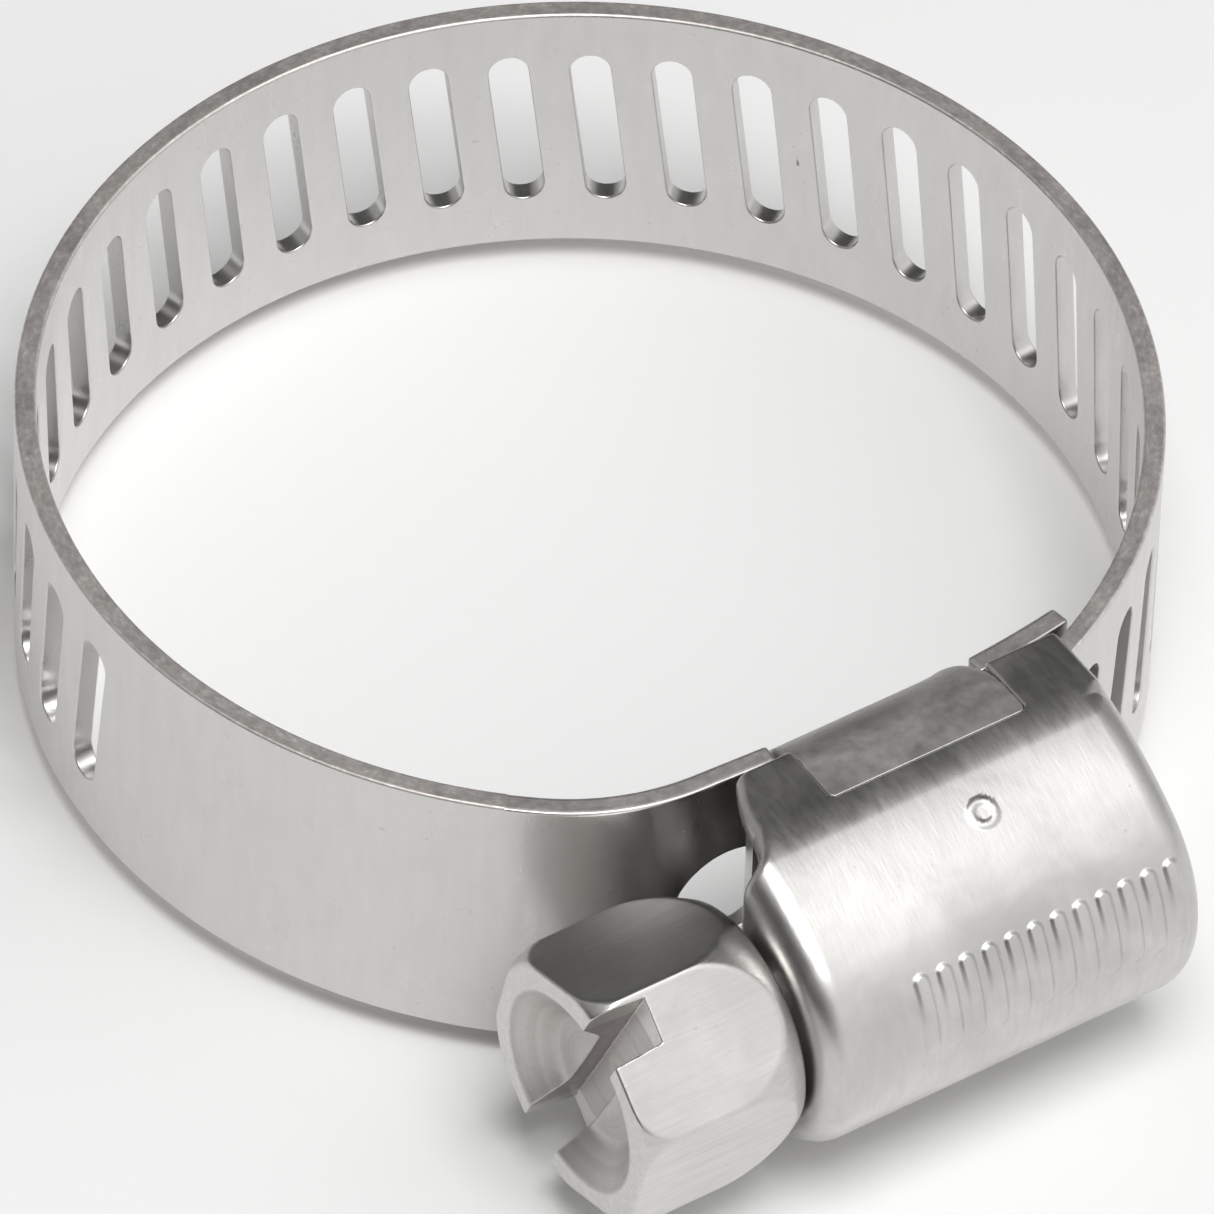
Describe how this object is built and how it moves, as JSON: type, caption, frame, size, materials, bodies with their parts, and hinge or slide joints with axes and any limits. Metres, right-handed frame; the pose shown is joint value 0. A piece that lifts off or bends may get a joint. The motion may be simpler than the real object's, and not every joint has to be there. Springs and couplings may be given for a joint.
{
  "type": "hose clamp",
  "caption": "Miniature worm-drive hose clamp: a perforated steel band closed into a ring by a slotted hexagon screw in a pressed housing, which draws the band through and tightens the ring.",
  "frame": {"origin": "centre of the ring at half the band's width, where the hose's axis passes", "axes": "+Z along the ring's axis; +X along the screw from its head to the closed nose of the housing; the housing is on the -Y side"},
  "size_m": [0.0284, 0.0342, 0.0094],
  "materials": {
    "band_steel": "rolled stainless steel strip, satin, with sheared edges",
    "housing_steel": "pressed stainless steel sheet, satin with draw marks",
    "saddle_steel": "pressed stainless steel sheet, matt",
    "screw_steel": "cold-headed and rolled steel, fine turned and drawn marks"
  },
  "bodies": {
    "housing": {"housing_cap": "housing_steel", "saddle": "saddle_steel", "band_fixed_end": "band_steel"},
    "screw": {"screw": "screw_steel"},
    "band_left": {"band_left_length": "band_steel"},
    "band_right": {"band_right_length": "band_steel"},
    "band_free": {"band_free_end": "band_steel"}
  },
  "joints": [
    {"name": "screw_turn", "type": "hinge", "parent": "housing", "child": "screw", "pos_m": [0, -0.01625, 0], "axis": [1, 0, 0], "range_deg": [-90, 720]},
    {"name": "band_turn_left", "type": "hinge", "parent": "housing", "child": "band_left", "pos_m": [-0.01262, -0.00588, 0], "axis": [0, 0, 1], "range_deg": [-6.25, 0.8]},
    {"name": "band_turn_far", "type": "hinge", "parent": "band_left", "child": "band_right", "pos_m": [-0.00127, 0.01387, 0], "axis": [0, 0, 1], "range_deg": [-5.05, 0.65]},
    {"name": "band_turn_right", "type": "hinge", "parent": "band_right", "child": "band_free", "pos_m": [0.01324, -0.0043, 0], "axis": [0, 0, 1], "range_deg": [-5.9, 0.75]}
  ],
  "couplings": [
    {"joint": "band_turn_left", "follows": "screw_turn", "ratio": -0.008624},
    {"joint": "band_turn_far", "follows": "screw_turn", "ratio": -0.006979},
    {"joint": "band_turn_right", "follows": "screw_turn", "ratio": -0.008181}
  ]
}
